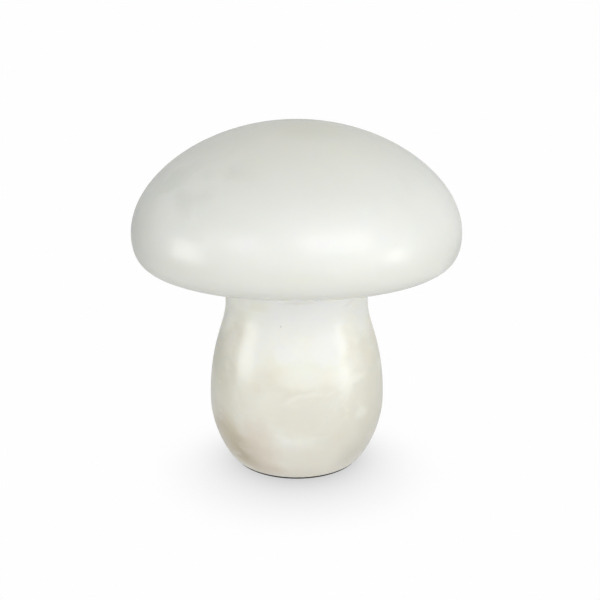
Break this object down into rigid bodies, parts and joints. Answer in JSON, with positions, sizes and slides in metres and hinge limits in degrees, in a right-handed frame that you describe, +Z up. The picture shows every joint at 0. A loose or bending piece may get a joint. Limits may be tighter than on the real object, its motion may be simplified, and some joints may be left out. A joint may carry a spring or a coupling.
{
  "type": "table lamp",
  "caption": "Stone mushroom table lamp: domed lift-off cap on a barrel stem, with battery, light engine, rear push button and rear charging inlet.",
  "frame": {"origin": "middle of the foot pad's lower face, on the surface that the lamp stands on", "axes": "+Z up along the lamp's turning axis, -Y towards the front, +Y towards the rear, where the button and the charging inlet are, +X to the right seen from the front"},
  "size_m": [0.238, 0.238, 0.255],
  "materials": {
    "cap_stone": "polished translucent alabaster, neutral white",
    "stem_stone": "polished translucent alabaster, warm white with pale brown clouds",
    "pad_rubber": "matt black",
    "seat_rubber": "milky silicone",
    "plate_aluminium": "turned, bead blasted",
    "plate_steel": "zinc plated",
    "screw_steel": "zinc plated",
    "holder_plastic": "moulded, fine texture",
    "cell_sleeve": "shrink sleeve",
    "contact_nickel": "nickel plated",
    "band_fabric": "woven hook band",
    "standoff_brass": "turned",
    "board_green": "solder mask",
    "board_white": "white solder mask",
    "chip_black": "moulded",
    "socket_plastic": "moulded",
    "led_phosphor": "resin over phosphor",
    "opal_plastic": "opal diffuser",
    "bezel_steel": "brushed, circular",
    "bush_nut_brass": "turned",
    "gasket_rubber": "matt black",
    "spring_steel": "drawn wire",
    "inlet_steel": "pressed sheet",
    "lead_sleeve": "soft white sleeve"
  },
  "bodies": {
    "base": {"base_plate": "plate_steel", "battery_band": "band_fabric", "battery_cell_left": "cell_sleeve", "battery_cell_right": "cell_sleeve", "battery_contacts": "contact_nickel", "battery_holder": "holder_plastic", "board_chips": "chip_black", "board_screws": "screw_steel", "board_sockets": "socket_plastic", "board_standoffs": "standoff_brass", "button_bezel": "bezel_steel", "button_gasket": "gasket_rubber", "button_lead": "lead_sleeve", "button_nut": "bush_nut_brass", "button_spring": "spring_steel", "button_switch": "chip_black", "control_board": "board_green", "foot_pad": "pad_rubber", "holder_screws": "screw_steel", "led_lead": "lead_sleeve", "link_pins": "standoff_brass", "lower_board_screws": "screw_steel", "lower_diffuser": "opal_plastic", "lower_diffuser_screws": "screw_steel", "lower_led_board": "board_white", "lower_leds": "led_phosphor", "seat_ring": "seat_rubber", "stem": "stem_stone", "tie_tube": "plate_steel", "top_nut": "plate_steel", "top_plate": "plate_aluminium", "top_washer": "plate_steel", "upper_board_screws": "screw_steel", "upper_diffuser": "opal_plastic", "upper_diffuser_screws": "screw_steel", "upper_led_board": "board_white", "upper_leds": "led_phosphor", "usb_bezel": "bezel_steel", "usb_board": "board_green", "usb_gasket": "gasket_rubber", "usb_lead": "lead_sleeve", "usb_nut": "bush_nut_brass", "usb_shell": "inlet_steel", "usb_tongue": "chip_black"},
    "cap": {"cap": "cap_stone"},
    "button": {"button_cap": "bezel_steel"}
  },
  "joints": [
    {"name": "cap_lift", "type": "slide", "parent": "base", "child": "cap", "axis": [0, 0, 1], "range_m": [0, 0.06]},
    {"name": "button_press", "type": "slide", "parent": "base", "child": "button", "axis": [0, -1, 0], "range_m": [0, 0.0015], "stiffness_N_per_m": 1500, "springref_m": -0.001, "deforming": ["button_spring"]}
  ]
}
